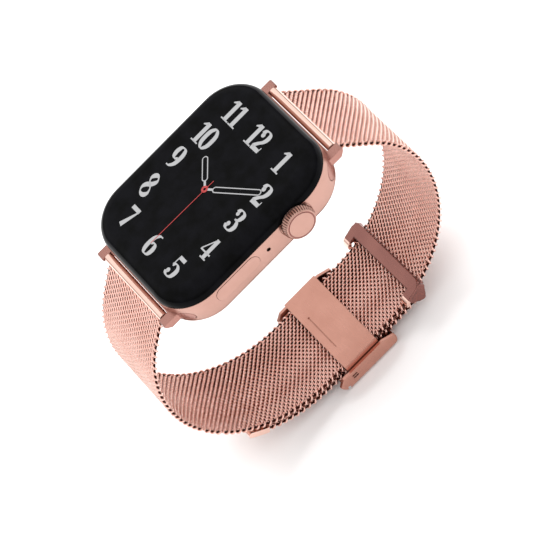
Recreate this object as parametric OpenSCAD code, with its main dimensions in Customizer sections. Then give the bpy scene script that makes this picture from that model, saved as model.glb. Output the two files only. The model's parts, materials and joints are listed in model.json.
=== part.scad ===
// Rectangular smartwatch on a woven steel mesh band with a sliding flip-cover buckle.
// +X points to the crown, +Y to the twelve o'clock end and +Z out of the display.
// The origin is the flat face of the closed buckle cover that the band stands on. Millimetres.

/* [Watch head] */
// Width of the case across the wrist, without the crown
case_w = 38; // [37:0.5:40]
// Length of the case along the band
case_l = 44; // [43:0.5:46]
// Thickness from the flat back to the top of the glass
case_h = 10.7; // [10.5:0.1:12]
// Corner radius of the case seen from above
case_r = 9.5; // [8.5:0.5:10]

/* [Crown and buttons] */
// Radius of the crown over its knurls
crown_r = 3.7; // [3:0.1:3.8]
// Place of the crown and its shaft along the case
crown_y = 8.5; // [7:0.5:9]
// Number of knurls round the crown
crown_teeth = 64; // [24:4:96]
// Length of the side button
button_l = 11.2; // [8:0.2:12]
// How far the crown and the side button can be pressed
press_travel = 0.3; // [0.1:0.05:0.3]

/* [Band] */
// Width of the woven mesh
band_w = 22; // [20:0.5:22]
// Thickness of the woven mesh
mesh_t = 1.2; // [1:0.05:1.3]
// Height of the display above the face that the watch stands on
stand_h = 59.2; // [57:0.2:62]
// Radius of the band's bend on the six o'clock side
left_r = 25.5; // [25:0.1:26]
// Radius of the band's lower bend on the twelve o'clock side
right_r = 27.8; // [27.4:0.1:28]
// Radius of the band's upper bend on the twelve o'clock side
right_top_r = 21.3; // [21:0.1:21.6]
// How far the folded-back tail runs past the bottom of its bend, in degrees
tail_angle = 34; // [20:1:40]

/* [Buckle] */
// Width of the buckle cover across the band
cover_w = 26; // [25.6:0.2:27]
// Length of the buckle cover along the band
cover_l = 15.6; // [15:0.1:16]
// Length of the plate on the inner side of the band
plate_l = 8.8; // [8:0.2:9]

/* [Hidden] */
$fn = 64;

// Colours
ROSE = [0.87, 0.65, 0.57];
ROSE_DARK = [0.64, 0.42, 0.37];
MESH = [0.88, 0.66, 0.60];
STEEL = [0.75, 0.76, 0.78];
BLACK = [0.05, 0.05, 0.06];
GREEN = [0.10, 0.35, 0.22];

// Watch head: heights below are measured up from the flat back of the case
head_z = stand_h - case_h;
half_w = case_w / 2;
half_l = case_l / 2;
glass_edge_r = 3.4;
rim_z = case_h - glass_edge_r;
seal_t = 0.15;
belly_r = 3.4;
bulge_r = 18;
side_z = 5.3;
cavity_x = 16.4;
cavity_y = 15.9;
cavity_r = 6.5;
floor_t = 1.3;
back_r = 13.5;
back_flange_r = 14.6;
window_r = 10;
window_drop = 1.1;
window_t = 1.2;

// Band slots in the ends of the case
slot_y = half_l - 1.8;
slot_z = 4.1;
slot_r = 1.7;
slot_mouth = 1.9;
slide_gap = 0.08;
adapter_x = 12.6;
ear_in = 11.45;
ear_out = 13.7;
pin_x = 12.25;
pin_y = half_l + 1.3;
pin_z = 4.2;
pin_r = 0.5;
ferrule_r = 1.0;
ferrule_bore_r = 0.55;

// Crown stack along +X
crown_z = 5.5;
crown_back = 18.95;
crown_face = 21.1;
crown_neck_r = 1.9;
crown_chamfer = 0.35;
shaft_r = 0.9;
bush_r = 1.6;
bush_bore_r = 0.95;
recess_x = crown_back - press_travel - 0.1;

// Side button and release buttons
button_y = -7.5;
button_z = 5.3;
button_r = 1.55;
button_floor = 17.2;
release_y = 17.2;
release_half = 1.6;
release_r = 0.85;

// Band path in the plane of the loop: layer heights, arc centres and tangent points
half_band = band_w / 2;
half_t = mesh_t / 2;
layer_gap = 0.2;
inner_z = 3.9;
layer_pitch = mesh_t + layer_gap;
pin_h = head_z + pin_z;
left_y = -36.45 + left_r;
left_z = inner_z + left_r;
right_y = 34.2 - right_r;
right_z = inner_z + right_r;
right_top_y = 34.2 - right_top_r;
flex_angle = 205;
flex_gap = 0.15;
flex_gap_deg = flex_gap / left_r * 180 / PI;
flex_y = left_y + left_r * cos(flex_angle);
flex_z = left_z + left_r * sin(flex_angle);
wire_r = 0.3;
wire_clear = 0.06;
bend_step = 3;
tip_length = 9;

// Angle at which a line from the pin touches an arc, on the side given by s
function touch_angle(cy, cz, r, py, s) =
    let (dy = py - cy, dz = pin_h - cz) atan2(dz, dy) + s * acos(r / norm([dy, dz]));
left_touch = touch_angle(left_y, left_z, left_r, -pin_y, 1);
right_touch = touch_angle(right_top_y, right_z, right_top_r, pin_y, -1);

// Ring between the two straps. Its frame has +Y along the band and +Z into the loop.
ring_angle = 17.5;
ring_half_w = 12.5;
ring_low = 1.25;
ring_high = 1.95;
rod_r = 0.35;
rod_clear = 0.2;
fold_r = half_t + rod_clear + rod_r;
rod_t = 0.2;
rib_t0 = 2.2;
rib_t1 = 2.75;
arm_end = -2.8;
bar_start = 0;
bar_end = 2.75;
arm_in = 10.3;
cheek_in = half_band + 0.3;
cheek_nose = 0.8;
cheek_low = 0.3;
foot_r = 0.8;
ring_pos = [right_y + right_r * sin(ring_angle), right_z - right_r * cos(ring_angle)];
function in_ring(t, n) = [ring_pos.x + t * cos(ring_angle) - n * sin(ring_angle),
    ring_pos.y + t * sin(ring_angle) + n * cos(ring_angle)];
rod_pos = in_ring(rod_t, -fold_r);
rod_angle = atan2(rod_pos.x - right_y, right_z - rod_pos.y);
rod_dist = norm([rod_pos.x - right_y, right_z - rod_pos.y]);
// Direction in which the tail leaves the fold so that it touches its own lower arc
tail_leave = rod_angle - acos((right_r + layer_pitch - fold_r) / rod_dist);
short_end = ring_angle + asin((rib_t1 + 0.005) / (right_r - half_t));

// Buckle
cover_y0 = -9.8;
cover_y1 = cover_y0 + cover_l;
cover_wall = 0.7;
cover_floor = 0.8;
cover_rim = 3.9;
lip_h = 1.7;
plate_y1 = 2.5;
plate_y0 = plate_y1 - plate_l;
plate_x = cover_w / 2 - cover_wall - 0.2;
plate_low = inner_z + half_t + layer_gap;
plate_high = plate_low + 0.7;
hinge_y = -8.4;
hinge_z = 1.05;
hinge_r = 0.35;
hinge_boss = 0.75;

// ---------- helpers ----------

// Places a piece of the watch head
module head() {
    translate([0, 0, head_z]) children();
}

// Cylinder along X
module rod_x(r, x0, x1, y, z) {
    translate([x0, y, z]) rotate([0, 90, 0]) cylinder(r = r, h = x1 - x0);
}

// Box from its two opposite corners
module box(a, b) {
    translate(a) cube(b - a);
}

// Outline drawn in (y, z), extruded along X
module along_x(x0, x1) {
    translate([x0, 0, 0]) rotate([90, 0, 90]) linear_extrude(x1 - x0) children();
}

// Sweeps an edge profile, drawn outwards from the corner centres, round a rounded rectangle
module swept(hx, hy, r, z0, z1) {
    for (i = [0:3]) {
        sx = (i == 0 || i == 3) ? 1 : -1;
        sy = i < 2 ? 1 : -1;
        translate([sx * (hx - r), sy * (hy - r), 0]) rotate([0, 0, 90 * i])
            rotate_extrude(angle = 90) children();
    }
    for (i = [0:1]) {
        rotate([0, 0, 180 * i]) translate([hx - r, 0, 0]) rotate([90, 0, 0])
            linear_extrude(2 * (hy - r), center = true) children();
        rotate([0, 0, 90 + 180 * i]) translate([hy - r, 0, 0]) rotate([90, 0, 0])
            linear_extrude(2 * (hx - r), center = true) children();
    }
    box([r - hx, r - hy, z0], [hx - r, hy - r, z1]);
}

// Upright rounded block
module round_block(hx, hy, r, z0, z1) {
    for (sx = [-1, 1], sy = [-1, 1])
        translate([sx * (hx - r), sy * (hy - r), z0]) cylinder(r = r, h = z1 - z0);
    box([-hx, r - hy, z0], [hx, hy - r, z1]);
    box([r - hx, -hy, z0], [hx - r, hy, z1]);
}

// Flat ring along Z
module washer(r_out, r_in, z0, z1) {
    difference() {
        translate([0, 0, z0]) cylinder(r = r_out, h = z1 - z0);
        translate([0, 0, z0 - 1]) cylinder(r = r_in, h = z1 - z0 + 2);
    }
}

// Block with round ends, its length along Y and its depth along X
module pill_x(r, half, x0, x1, y, z) {
    for (s = [-1, 1]) rod_x(r, x0, x1, y + s * (half - r), z);
    box([x0, y - half + r, z - r], [x1, y + half - r, z + r]);
}

// Block with round ends, its length along X and its depth along Z
module pill_z(r, half, y, z0, z1) {
    for (s = [-1, 1]) translate([s * (half - r), y, z0]) cylinder(r = r, h = z1 - z0);
    box([r - half, y - r, z0], [half - r, y + r, z1]);
}

// ---------- watch head ----------

// Edge of the aluminium case: round belly below, gently bulged side above
module case_edge() {
    intersection() {
        square([case_r, rim_z]);
        translate([case_r - bulge_r, side_z]) circle(r = bulge_r);
        union() {
            square([case_r - belly_r, rim_z]);
            translate([case_r - belly_r, belly_r]) circle(r = belly_r);
            translate([0, belly_r]) square([case_r, rim_z - belly_r]);
        }
    }
}

// Edge of the cover glass: a quarter round that meets the rim of the case
module glass_edge() {
    reach = case_r - glass_edge_r - 0.1;
    intersection() {
        translate([0, rim_z + seal_t]) square([case_r, glass_edge_r]);
        union() {
            translate([0, rim_z]) square([reach, glass_edge_r]);
            translate([reach, rim_z]) circle(r = glass_edge_r);
        }
    }
}

module case_shell() {
    color(ROSE) head() difference() {
        swept(half_w, half_l, case_r, 0, rim_z) case_edge();
        round_block(cavity_x, cavity_y, cavity_r, floor_t, rim_z + 1);
        translate([0, 0, -1]) cylinder(r = back_r, h = floor_t + 2);
        for (s = [-1, 1]) {
            // band slot and its mouth
            rod_x(slot_r, -half_w - 1, half_w + 1, s * slot_y, slot_z);
            box([-half_w - 1, min(s * slot_y, s * (half_l + 1)), slot_z - slot_mouth / 2],
                [half_w + 1, max(s * slot_y, s * (half_l + 1)), slot_z + slot_mouth / 2]);
            // pocket of the band release button
            pill_z(release_r + 0.05, release_half + 0.05, s * release_y, -1, 2);
            // speaker slots in the far side
            pill_x(0.5, 3.2, -half_w - 1, -cavity_x + 1, s * 4.4, side_z);
        }
        // crown recess and bore
        rod_x(crown_r + 0.15, recess_x, half_w + 1, crown_y, crown_z);
        rod_x(bush_r, cavity_x - 1, half_w + 1, crown_y, crown_z);
        // side button pocket and stem hole
        pill_x(button_r + 0.05, button_l / 2 + 0.05, button_floor, half_w + 1, button_y, button_z);
        rod_x(0.8, cavity_x - 1, half_w + 1, button_y, button_z);
        // microphone hole
        rod_x(0.45, cavity_x - 1, half_w + 1, 0.6, 5);
    }
}

module front_glass() {
    color(BLACK) head() difference() {
        swept(half_w, half_l, case_r, rim_z + seal_t, case_h) glass_edge();
        round_block(15.6, 18.4, 6.5, rim_z, 9.2);
    }
}

module display_panel() {
    color([0.12, 0.12, 0.14]) head() round_block(15.3, 18.1, 6.2, 7.6, 9.15);
}

module display_gasket() {
    color(BLACK) head() difference() {
        round_block(half_w - 0.7, half_l - 0.7, 8.8, rim_z, rim_z + seal_t);
        round_block(half_w - 2, half_l - 2, 7.5, rim_z - 1, rim_z + 1);
    }
}

module display_flex() {
    color([0.75, 0.45, 0.15]) head() along_x(6.2, 9.2)
        polygon([[11.5, 4.1], [14.7, 4.1], [14.7, 7.6], [14.5, 7.6], [14.5, 4.3], [11.5, 4.3]]);
}

module antenna_frame() {
    color(STEEL) head() difference() {
        round_block(16.2, 15.7, 6.2, 7.15, 7.3);
        round_block(15.6, 15.1, 5.6, 7, 8);
    }
}

module connector_bracket() {
    color(STEEL) head() difference() {
        box([4.4, 10.4, 4.45], [11, 13.9, 4.75]);
        for (x = [5.2, 10.2]) translate([x, 12.2, 4]) cylinder(r = 0.5, h = 1);
    }
}

module frame_screws() {
    color(STEEL) head() for (x = [5.2, 10.2]) translate([x, 12.2, 0]) difference() {
        union() {
            translate([0, 0, 3.4]) cylinder(r = 0.45, h = 1.4);
            translate([0, 0, 4.75]) cylinder(r = 0.85, h = 0.45);
        }
        box([-1, -0.12, 5], [1, 0.12, 6]);
    }
}

module battery() {
    color([0.20, 0.20, 0.22]) head() round_block_at(-4.1, -5.75, 8.1, 9.25, 1.2, 2.4, 6.4);
}

// Rounded block centred on (x, y)
module round_block_at(x, y, hx, hy, r, z0, z1) {
    translate([x, y, 0]) round_block(hx, hy, r, z0, z1);
}

module logic_board() {
    color(GREEN) head() box([-12.2, 4.2, 2.4], [10.9, 14.3, 3.4]);
}

module chip_shield() {
    color(STEEL) head() round_block_at(-4.2, 9.3, 7.2, 4.4, 0.8, 3.4, 5.4);
}

module haptic_engine() {
    color(STEEL) head() {
        box([4.7, -14.6, 2.4], [11.2, 2.8, 6.2]);
        box([6, 2.8, 3], [9.9, 3.6, 5.6]);
    }
}

module speaker_module() {
    color(BLACK) head() difference() {
        box([-16.2, -8, 3], [-12.6, 8, 7]);
        for (s = [-1, 1]) box([-17, s * 4.4 - 2.6, side_z - 0.6], [-15, s * 4.4 + 2.6, side_z + 0.6]);
    }
}

module microphone() {
    color(STEEL) head() difference() {
        box([14.6, -0.9, 3.9], [cavity_x, 2.1, 6.1]);
        rod_x(0.45, 15.4, 17, 0.6, 5);
    }
}

module crown_bush() {
    color(STEEL) head() difference() {
        rod_x(bush_r, 15, recess_x - 0.05, crown_y, crown_z);
        rod_x(bush_bore_r, 14, 20, crown_y, crown_z);
        rod_x(1.35, 15.8, 17.2, crown_y, crown_z);
    }
}

module crown_seal() {
    color(BLACK) head() for (x = [16.1, 16.8]) translate([x, crown_y, crown_z]) rotate([0, 90, 0])
        rotate_extrude() translate([1.14, 0]) circle(r = 0.2, $fn = 24);
}

module crown_encoder() {
    color(BLACK) head() {
        box([13.9, 6.6, 1.7], [15.1, 10.4, 3.7]);
        box([14.2, 7.9, 3.7], [14.8, 9.1, 4.3]);
    }
}

module crown_switch() {
    color(STEEL) head() {
        box([11.1, 7.1, 4.1], [11.8, 9.9, 6.9]);
        rod_x(0.9, 11.8, 12.1, crown_y, crown_z);
    }
}

module side_switch() {
    color(STEEL) head() {
        box([14.3, button_y - 2, button_z - 1.5], [14.9, button_y + 2, button_z + 1.5]);
        rod_x(0.8, 14.9, 15.2, button_y, button_z);
    }
}

module back_cover() {
    color([0.16, 0.15, 0.16]) head() {
        washer(back_r - 0.03, window_r, 0, floor_t + seal_t);
        washer(back_flange_r, 11.5, floor_t + seal_t, 1.85);
    }
}

module back_seal() {
    color(BLACK) head() washer(back_flange_r - 0.1, back_r + 0.1, floor_t, floor_t + seal_t);
}

// Lens over the wrist sensors: a disc whose outer face is part of a large sphere
module sensor_window() {
    dome_r = (window_r * window_r + window_drop * window_drop) / (2 * window_drop);
    color([0.08, 0.08, 0.09]) head() rotate_extrude() intersection() {
        translate([0, -window_drop - 1]) square([window_r, window_drop + 1 + window_t]);
        translate([0, dome_r - window_drop]) circle(r = dome_r, $fn = 720);
    }
}

module charging_coil() {
    color([0.72, 0.42, 0.20]) head() washer(9.7, 6.5, 1.25, 1.9);
}

module sensor_board() {
    color(GREEN) head() translate([0, 0, 1.6]) cylinder(r = 6.1, h = 0.6);
}

module sensor_leds() {
    color([0.85, 0.85, 0.80]) head() for (i = [0:7]) rotate([0, 0, 45 * i])
        box([3.4, -0.6, 1.25], [4.8, 0.6, 1.6]);
}

// ---------- crown and buttons ----------

// Outline of the knurled crown: one shallow groove between each pair of teeth
module knurl_outline() {
    polygon([for (i = [0:2 * crown_teeth - 1])
        let (a = i * 180 / crown_teeth, r = crown_r - (i % 2) * 0.16) [r * cos(a), r * sin(a)]]);
}

// Turns a piece drawn along +Z round the crown's axis
module on_crown() {
    head() translate([0, crown_y, crown_z]) rotate([0, 90, 0]) children();
}

module crown_wheel() {
    color(ROSE) on_crown() difference() {
        union() {
            translate([0, 0, crown_back]) cylinder(r = crown_neck_r, h = press_travel);
            translate([0, 0, crown_back + press_travel])
                linear_extrude(crown_face - crown_chamfer - crown_back - press_travel) knurl_outline();
            translate([0, 0, crown_face - crown_chamfer])
                cylinder(r1 = crown_r - 0.1, r2 = crown_r - 0.45, h = crown_chamfer);
        }
        translate([0, 0, crown_face - 0.3]) cylinder(r = 3.05, h = 1);
        translate([0, 0, crown_back - 1]) cylinder(r = shaft_r, h = 2);
    }
}

module crown_ring() {
    color(ROSE_DARK) on_crown() washer(3.05, 2.75, crown_face - 0.3, crown_face - 0.02);
}

module crown_cap() {
    color(ROSE) on_crown() translate([0, 0, crown_face - 0.3]) cylinder(r = 2.75, h = 0.33);
}

module crown_shaft() {
    color(STEEL) on_crown() difference() {
        translate([0, 0, 13.2]) cylinder(r = shaft_r, h = crown_back + 1 - 13.2);
        washer(2, 0.7, 13.6, 13.9);
    }
}

// Retaining clip that keeps the shaft from pulling out
module crown_clip() {
    color(STEEL) on_crown() difference() {
        washer(1.55, 0.7, 13.6, 13.9);
        box([-0.5, -2, 13], [0.5, 0, 14.5]);
    }
}

module crown_push_plate() {
    color(STEEL) on_crown() {
        translate([0, 0, 12.5]) cylinder(r = 1.7, h = 0.65);
    }
}

module side_button() {
    color(ROSE) head() {
        pill_x(button_r, button_l / 2, button_floor + press_travel + 0.1, half_w + 0.02, button_y, button_z);
        rod_x(0.7, 15.55, button_floor + press_travel + 0.2, button_y, button_z);
    }
}

module release_button(s) {
    color(ROSE_DARK) head() pill_z(release_r, release_half, s * release_y, 0, 1.4);
}

module release_button_12() { release_button(1); }
module release_button_6() { release_button(-1); }

// ---------- band connectors ----------

// Side view of an ear, which tapers from the case slot past the pin to a blunt nose
module ear_side(neck_z0, neck_z1) {
    polygon([[slot_y, neck_z0], [slot_y, neck_z1], [pin_y + 1, neck_z1], [pin_y + 1.3, neck_z1 - 0.3],
        [pin_y + 1.1, pin_z], [pin_y + 0.1, neck_z0]]);
}

// Slide bar with ends flush with the case, its neck, and two ears that hold the band pin
module adapter(s) {
    neck = slot_mouth / 2 - 0.1;
    neck_z0 = slot_z - neck;
    neck_z1 = slot_z + neck;
    color(ROSE) head() mirror([0, s < 0 ? 1 : 0, 0]) difference() {
        union() {
            intersection() {
                swept(half_w, half_l, case_r, 0, rim_z) case_edge();
                union() {
                    rod_x(slot_r - slide_gap, -half_w, half_w, slot_y, slot_z);
                    box([-half_w, slot_y, neck_z0], [half_w, half_l, neck_z1]);
                }
            }
            box([-adapter_x, half_l - 1, neck_z0], [adapter_x, half_l + 0.2, neck_z1]);
            for (e = [-1, 1]) along_x(min(e * ear_in, e * ear_out), max(e * ear_in, e * ear_out))
                ear_side(neck_z0, neck_z1);
        }
        rod_x(pin_r, -pin_x, pin_x, pin_y, pin_z);
    }
}

module adapter_12() { adapter(1); }
module adapter_6() { adapter(-1); }

module band_pin(s) {
    color(STEEL) head() rod_x(pin_r, -pin_x, pin_x, s * pin_y, pin_z);
}

module pin_12() { band_pin(1); }
module pin_6() { band_pin(-1); }

module ferrule(s) {
    x = ear_in - 0.15;
    color(ROSE) head() difference() {
        rod_x(ferrule_r, -x, x, s * pin_y, pin_z);
        rod_x(ferrule_bore_r, -x - 1, x + 1, s * pin_y, pin_z);
    }
}

module ferrule_12() { ferrule(1); }
module ferrule_6() { ferrule(-1); }

// ---------- woven straps ----------

// Points along an arc in the (y, z) plane, in n steps from angle a0 to a1
function arc_points(cy, cz, r, a0, a1, n) =
    [for (i = [0:n]) let (a = a0 + (a1 - a0) * i / n) [cy + r * cos(a), cz + r * sin(a)]];

// One face of each strap, at distance o to the left of its mid line when walked along the list
function short_face(o) = concat(
    arc_points(right_y, right_z, right_r - o, short_end - 90, -bend_step, 24),
    arc_points(right_top_y, right_z, right_top_r - o, 0, right_touch, 12),
    [[pin_y - o * cos(right_touch), pin_h - o * sin(right_touch)]]);
function upper_face(o) = concat(
    [[-pin_y - o * cos(left_touch), pin_h - o * sin(left_touch)]],
    arc_points(left_y, left_z, left_r - o, left_touch, flex_angle - flex_gap_deg / 2, 28));
function lower_face(o) = concat(
    arc_points(left_y, left_z, left_r - o, flex_angle + flex_gap_deg / 2, 270, 24),
    arc_points(right_y, right_z, right_r - o, -90, rod_angle - 90, 8),
    arc_points(rod_pos.x, rod_pos.y, fold_r + o, rod_angle + 90, tail_leave - 90, 16),
    arc_points(right_y, right_z, right_r + layer_pitch + o, tail_leave - 90, -90, 4),
    tail_face(o, 270, 270 - tail_angle, 12));
function tail_face(o, a0, a1, n) =
    arc_points(left_y, left_z, left_r + layer_pitch + o, a0, a1, n);
function backwards(list) = [for (i = [len(list) - 1:-1:0]) list[i]];

// Solid strap between its two faces
module strap(left, right) {
    color(MESH) along_x(-half_band, half_band) polygon(concat(left, backwards(right)));
}

// Short strap: from the twelve o'clock pin down to the ring
module mesh_short() {
    difference() {
        strap(short_face(half_t), short_face(-half_t));
        rod_x(ferrule_r, -half_band - 1, half_band + 1, pin_y, pin_h);
    }
}

// Long strap, upper part: from the six o'clock pin to the place where the mesh flexes
module mesh_long_upper() {
    difference() {
        strap(upper_face(half_t), upper_face(-half_t));
        rod_x(ferrule_r, -half_band - 1, half_band + 1, -pin_y, pin_h);
        rod_x(wire_r, -half_band - 1, half_band + 1, flex_y, flex_z);
    }
}

// The cross wire of the weave that the upper and the lower part turn on
module flex_wire() {
    color(STEEL) rod_x(wire_r, -half_band, half_band, flex_y, flex_z);
}

// Long strap, lower part: along the bottom, round the ring's rod and back outside as the tail
module mesh_long_lower() {
    difference() {
        strap(lower_face(half_t), lower_face(-half_t));
        rod_x(wire_r + wire_clear, -half_band - 1, half_band + 1, flex_y, flex_z);
    }
}

// Round end of the tail piece: half a circle from its outer face to its inner face
function tip_nose(mid, r, a0) = [for (i = [1:7]) let (a = a0 - 180 * i / 8)
    [mid.x + r * cos(a), mid.y + r * sin(a)]];

// Solid end piece welded to the end of the tail
module tail_tip() {
    half = half_t + 0.05;
    end = 270 - tail_angle - tip_length;
    mid = tail_face(0, end, end, 1)[0];
    color(ROSE) along_x(-half_band, half_band) polygon(concat(
        tail_face(half, 270 - tail_angle, end, 6), tip_nose(mid, half, end),
        tail_face(-half, end, 270 - tail_angle, 6)));
}

// Side wall of the ring: a straight cheek that narrows to a round foot on the rod
module ring_cheek() {
    polygon([[arm_end + cheek_nose, ring_high - 2 * cheek_nose], [arm_end + cheek_nose, ring_high],
        [bar_end, ring_high], [bar_end, cheek_low], [rod_t + foot_r, -fold_r],
        [rod_t - foot_r, -fold_r], [rod_t - 2.4 * foot_r, cheek_low]]);
    translate([arm_end + cheek_nose, ring_high - cheek_nose]) circle(r = cheek_nose);
    translate([rod_t, -fold_r]) circle(r = foot_r);
}

// Flat ring on the short strap with the rod that the long strap folds round
module ring_loop() {
    arm_nose = (ring_high - ring_low) / 2;
    color(ROSE_DARK) translate([0, ring_pos.x, ring_pos.y]) rotate([ring_angle, 0, 0]) {
        box([-ring_half_w, bar_start, ring_low], [ring_half_w, bar_end, ring_high]);
        box([-half_band, rib_t0, -half_t + 0.1], [half_band, rib_t1, ring_high]);
        rod_x(rod_r, -ring_half_w + 0.3, ring_half_w - 0.3, rod_t, -fold_r);
        for (s = [-1, 1]) {
            x0 = s < 0 ? -ring_half_w : arm_in;
            x1 = s < 0 ? -arm_in : ring_half_w;
            box([x0, arm_end + arm_nose, ring_low], [x1, bar_end, ring_high]);
            rod_x(arm_nose, x0, x1, arm_end + arm_nose, ring_high - arm_nose);
            along_x(s < 0 ? -ring_half_w : cheek_in, s < 0 ? -cheek_in : ring_half_w) ring_cheek();
        }
    }
}

// ---------- buckle ----------

module buckle_base() {
    color(ROSE) difference() {
        union() {
            box([-plate_x, plate_y0, plate_low], [plate_x, plate_y1, plate_high]);
            for (s = [-1, 1]) {
                x0 = s < 0 ? -plate_x : cheek_in;
                x1 = s < 0 ? -cheek_in : plate_x;
                box([x0, plate_y0, 1], [x1, plate_y1, plate_low]);
                box([x0, hinge_y, hinge_z], [x1, plate_y0, 3]);
                rod_x(hinge_boss, x0, x1, hinge_y, hinge_z);
            }
            box([-cheek_in, plate_y1 - 1.2, 1.1], [cheek_in, plate_y1, lip_h]);
        }
        rod_x(hinge_r + 0.05, -20, 20, hinge_y, hinge_z);
        // decorative slit and dot in the plate
        box([-4.6, -4.6, plate_high - 0.25], [6.3, -4.42, plate_high + 1]);
        translate([-4.6, -4.51, plate_high - 0.25]) cylinder(r = 0.22, h = 1);
    }
}

// Side view of the buckle cover
module cover_side() {
    intersection() {
        polygon([[cover_y0, -1], [cover_y1, -1], [cover_y1, 2.8], [cover_y1 - 2.8, cover_rim],
            [cover_y0 + 1.6, cover_rim], [cover_y0, 2.6]]);
        union() {
            translate([cover_y0 + 3, 3]) circle(r = 3);
            translate([cover_y1 - 2.4, 2.4]) circle(r = 2.4);
            translate([cover_y0 + 3, 0]) square([cover_l - 5.4, 5]);
            translate([cover_y0, 3]) square([3, 2]);
            translate([cover_y1 - 2.4, 2.4]) square([2.4, 2]);
        }
    }
}

// End view of the buckle cover
module cover_end() {
    r = 1.1;
    half = cover_w / 2;
    for (s = [-1, 1]) translate([s * (half - r), r]) circle(r = r);
    translate([-half, r]) square([cover_w, 5]);
    translate([r - half, 0]) square([cover_w - 2 * r, 6]);
}

module buckle_cover() {
    inner = cover_w / 2 - cover_wall;
    color(ROSE) difference() {
        union() {
            difference() {
                intersection() {
                    along_x(-cover_w / 2, cover_w / 2) cover_side();
                    translate([0, 20, 0]) rotate([90, 0, 0]) linear_extrude(40) cover_end();
                }
                box([-inner, cover_y0 + 2, cover_floor], [inner, cover_y1 - 0.7, 6]);
                box([-inner, cover_y0 - 1, lip_h], [inner, cover_y1 + 1, 6]);
                // room for the hinge end
                box([-inner, cover_y0 - 1, -1], [inner, hinge_y, 6]);
                for (s = [-1, 1])
                    box([s < 0 ? -inner : cheek_in - 0.15, cover_y0 - 1, -1],
                        [s < 0 ? 0.15 - cheek_in : inner, hinge_y + 0.95, 6]);
            }
            rod_x(hinge_r + 0.3, 0.15 - cheek_in, cheek_in - 0.15, hinge_y, hinge_z);
        }
        rod_x(hinge_r, -20, 20, hinge_y, hinge_z);
        // pairs of small windows in the side walls
        for (z = [1.9, 2.55]) box([-20, -6.4, z], [20, -5.1, z + 0.4]);
    }
}

module buckle_pins() {
    color(STEEL) for (s = [-1, 1])
        rod_x(hinge_r, s < 0 ? -cover_w / 2 : 8, s < 0 ? -8 : cover_w / 2, hinge_y, hinge_z);
}

module clamp_pad() {
    color(STEEL) box([-10.5, -6.4, cover_floor], [10.5, 0.8, lip_h - 0.05]);
}

case_shell();
front_glass();
display_panel();
display_gasket();
display_flex();
antenna_frame();
connector_bracket();
frame_screws();
battery();
logic_board();
chip_shield();
haptic_engine();
speaker_module();
microphone();
crown_bush();
crown_seal();
crown_encoder();
crown_switch();
side_switch();
back_cover();
back_seal();
sensor_window();
charging_coil();
sensor_board();
sensor_leds();
crown_push_plate();
crown_wheel();
crown_ring();
crown_cap();
crown_shaft();
crown_clip();
side_button();
release_button_12();
release_button_6();
adapter_12();
adapter_6();
pin_12();
pin_6();
ferrule_12();
ferrule_6();
mesh_short();
ring_loop();
mesh_long_upper();
flex_wire();
mesh_long_lower();
tail_tip();
buckle_base();
buckle_cover();
buckle_pins();
clamp_pad();
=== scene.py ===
"""Looks of the mesh-band smartwatch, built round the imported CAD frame. Lengths in metres."""

import json
import math

import bmesh
import bpy
import numpy as np
from mathutils import Matrix, Vector


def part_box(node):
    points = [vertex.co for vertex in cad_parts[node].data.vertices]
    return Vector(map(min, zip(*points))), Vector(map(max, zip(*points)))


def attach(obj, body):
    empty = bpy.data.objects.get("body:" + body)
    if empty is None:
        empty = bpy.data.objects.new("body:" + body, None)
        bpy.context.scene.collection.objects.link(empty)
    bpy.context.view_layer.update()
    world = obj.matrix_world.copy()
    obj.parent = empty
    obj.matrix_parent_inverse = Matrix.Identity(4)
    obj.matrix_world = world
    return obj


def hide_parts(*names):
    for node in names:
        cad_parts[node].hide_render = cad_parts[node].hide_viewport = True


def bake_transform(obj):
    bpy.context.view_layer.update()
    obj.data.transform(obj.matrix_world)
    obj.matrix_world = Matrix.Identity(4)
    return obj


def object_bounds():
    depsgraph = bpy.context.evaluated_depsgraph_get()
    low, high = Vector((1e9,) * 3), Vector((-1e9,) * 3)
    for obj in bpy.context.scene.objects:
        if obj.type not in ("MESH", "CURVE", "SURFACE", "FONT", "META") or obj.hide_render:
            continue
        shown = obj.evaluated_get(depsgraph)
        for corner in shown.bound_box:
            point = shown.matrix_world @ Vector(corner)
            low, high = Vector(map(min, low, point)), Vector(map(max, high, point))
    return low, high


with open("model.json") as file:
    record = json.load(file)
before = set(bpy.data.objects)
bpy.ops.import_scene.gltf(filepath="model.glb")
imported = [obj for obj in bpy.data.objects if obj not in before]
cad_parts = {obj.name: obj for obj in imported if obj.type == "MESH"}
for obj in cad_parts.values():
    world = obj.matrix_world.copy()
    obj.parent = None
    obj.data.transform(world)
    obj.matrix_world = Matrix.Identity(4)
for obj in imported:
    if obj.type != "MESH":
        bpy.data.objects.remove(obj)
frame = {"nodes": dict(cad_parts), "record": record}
cad_low, cad_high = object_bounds()
NODES = frame["nodes"]
MM = 0.001

# ---------------------------------------------------------------- band path, as in part.scad, mm
HALF_T = 0.6
INNER_Z = 3.9
LAYER_PITCH = 1.4
LEFT_R, RIGHT_R, TOP_R = 25.5, 27.8, 21.3
LEFT_Y, RIGHT_Y, TOP_Y = -36.45 + LEFT_R, 34.2 - RIGHT_R, 34.2 - TOP_R
LEFT_Z, RIGHT_Z = INNER_Z + LEFT_R, INNER_Z + RIGHT_R
PIN_Y, PIN_Z = 23.3, 52.7
FLEX_ANGLE = 205
TAIL_ANGLE = 34
RING_ANGLE = 17.5
RIB_END = 2.755
FOLD_R = 1.15
ROD_T = 0.2
PATH_STEP = 0.15


def arc(cy, cz, r, a0, a1):
    """Points of an arc in the (y, z) plane, from angle a0 to a1 in degrees."""
    n = max(2, int(abs(math.radians(a1 - a0)) * r / PATH_STEP))
    a = np.radians(np.linspace(a0, a1, n))
    return np.stack([cy + r * np.cos(a), cz + r * np.sin(a)], 1)


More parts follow.
